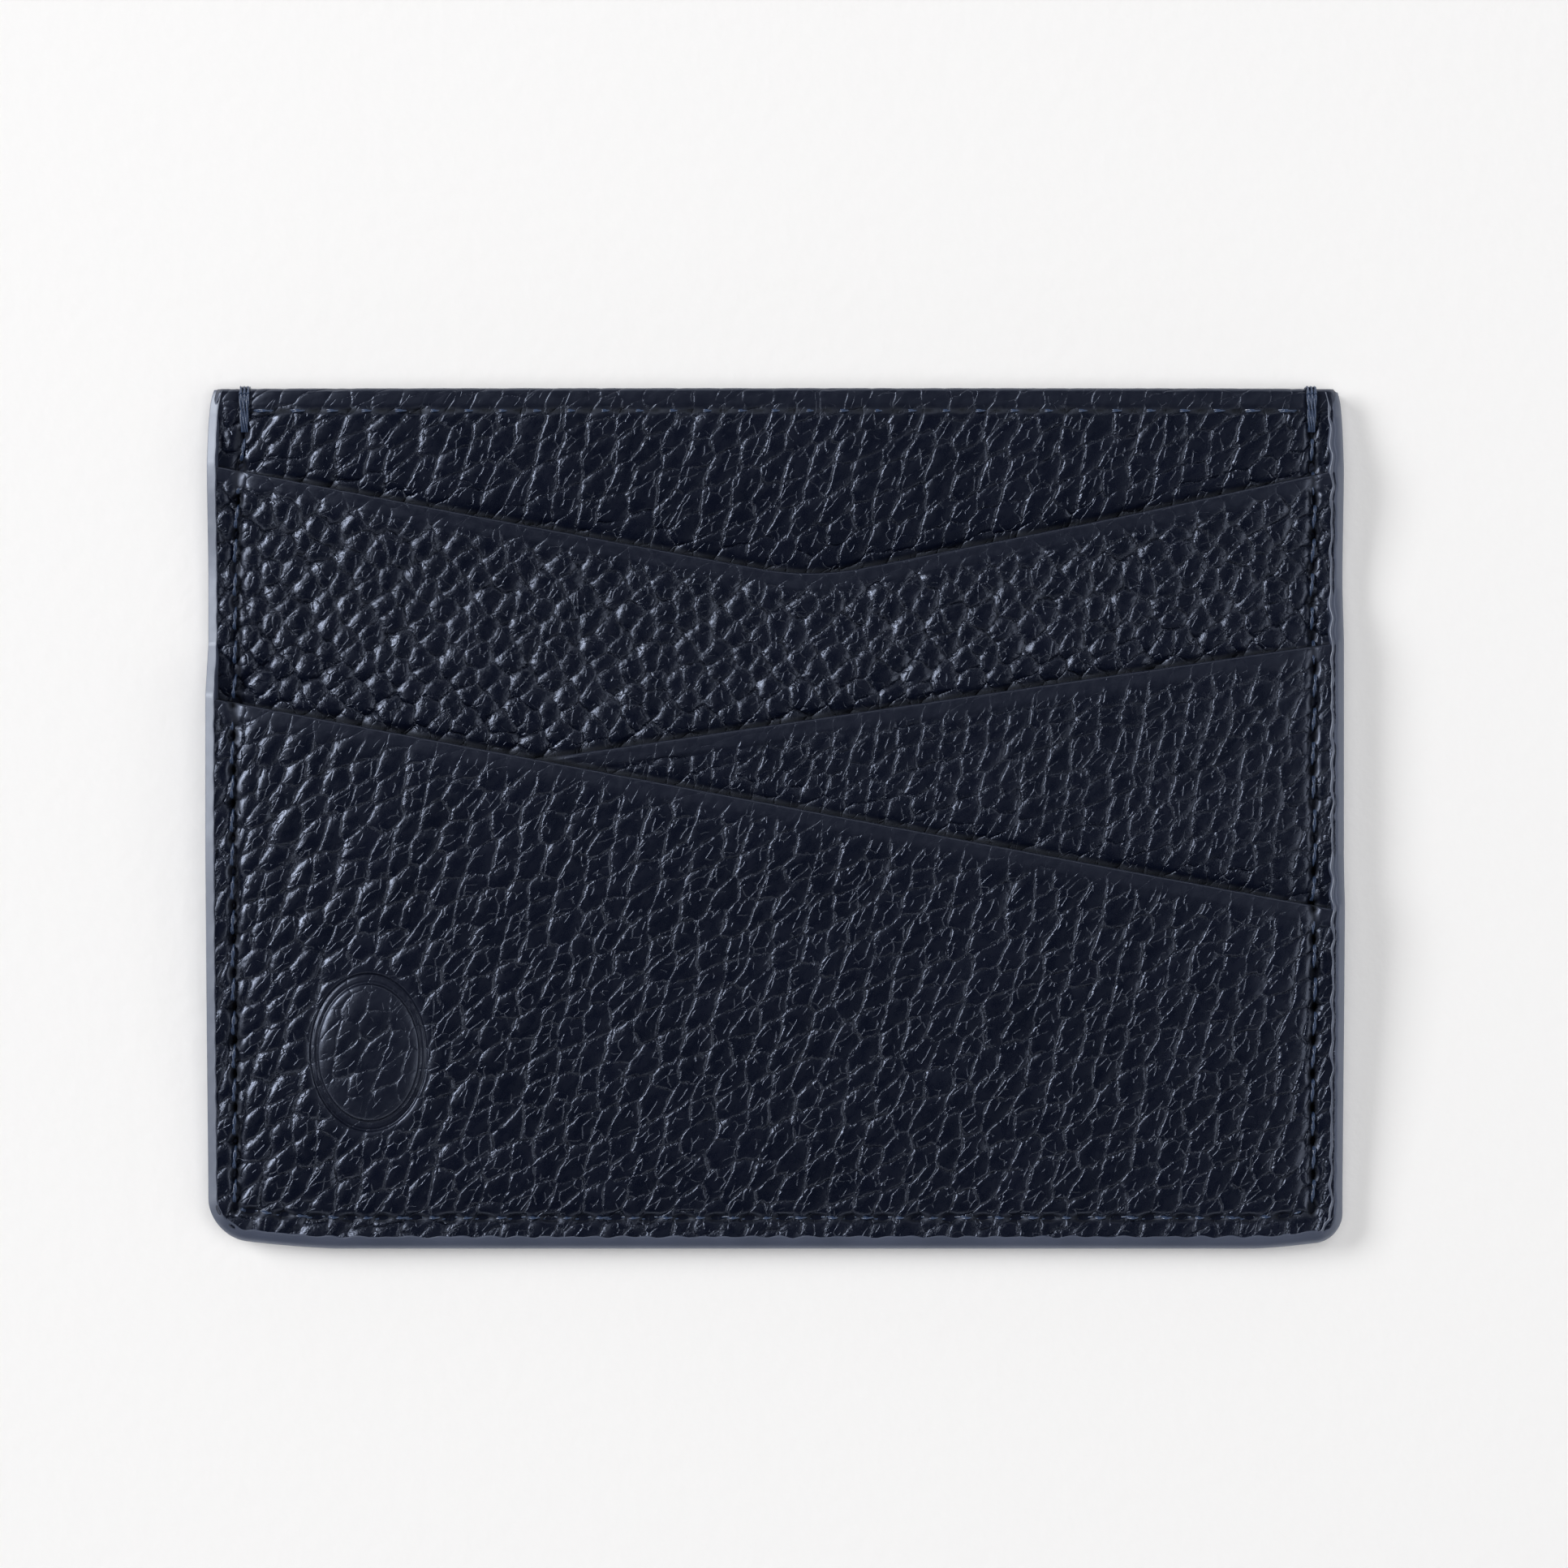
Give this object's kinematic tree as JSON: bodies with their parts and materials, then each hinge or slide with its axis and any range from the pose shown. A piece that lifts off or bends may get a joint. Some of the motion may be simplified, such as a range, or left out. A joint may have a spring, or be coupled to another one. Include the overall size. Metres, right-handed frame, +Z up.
{
  "type": "card holder",
  "caption": "Slim rectangular leather card holder, open at the top, with slanted card slots crossed over its front and a pocket down its middle.",
  "frame": {"origin": "on the resting plane, under the middle of the card holder's outline as it lies on its back", "axes": "+X to the right along the width, +Y towards the open top edge, +Z up out of the front with the card slots"},
  "size_m": [0.1, 0.076, 0.0052],
  "materials": {
    "leather": "pebbled, semi-gloss",
    "lining": "fine matt weave",
    "tape": "matt non-woven",
    "edge_paint": "smooth satin coat",
    "thread": "twisted, silky"
  },
  "bodies": {
    "root": {"back_panel": "leather", "front_base_panel": "leather", "upper_slot_panel": "leather", "middle_slot_panel": "leather", "lower_slot_panel": "leather", "back_lining": "lining", "front_lining": "lining", "upper_slot_lining": "lining", "middle_slot_lining": "lining", "lower_slot_lining": "lining", "back_hem_tape": "tape", "front_hem_tape": "tape", "edge_paint_left": "edge_paint", "edge_paint_bottom": "edge_paint", "edge_paint_right": "edge_paint", "edge_seam_front_thread": "thread", "edge_seam_back_thread": "thread", "front_hem_seam_thread": "thread", "front_hem_inner_thread": "thread", "back_hem_inner_thread": "thread", "upper_slot_floor_seam": "thread", "middle_slot_floor_seam": "thread", "left_bartack": "thread", "right_bartack": "thread"}
  },
  "joints": []
}
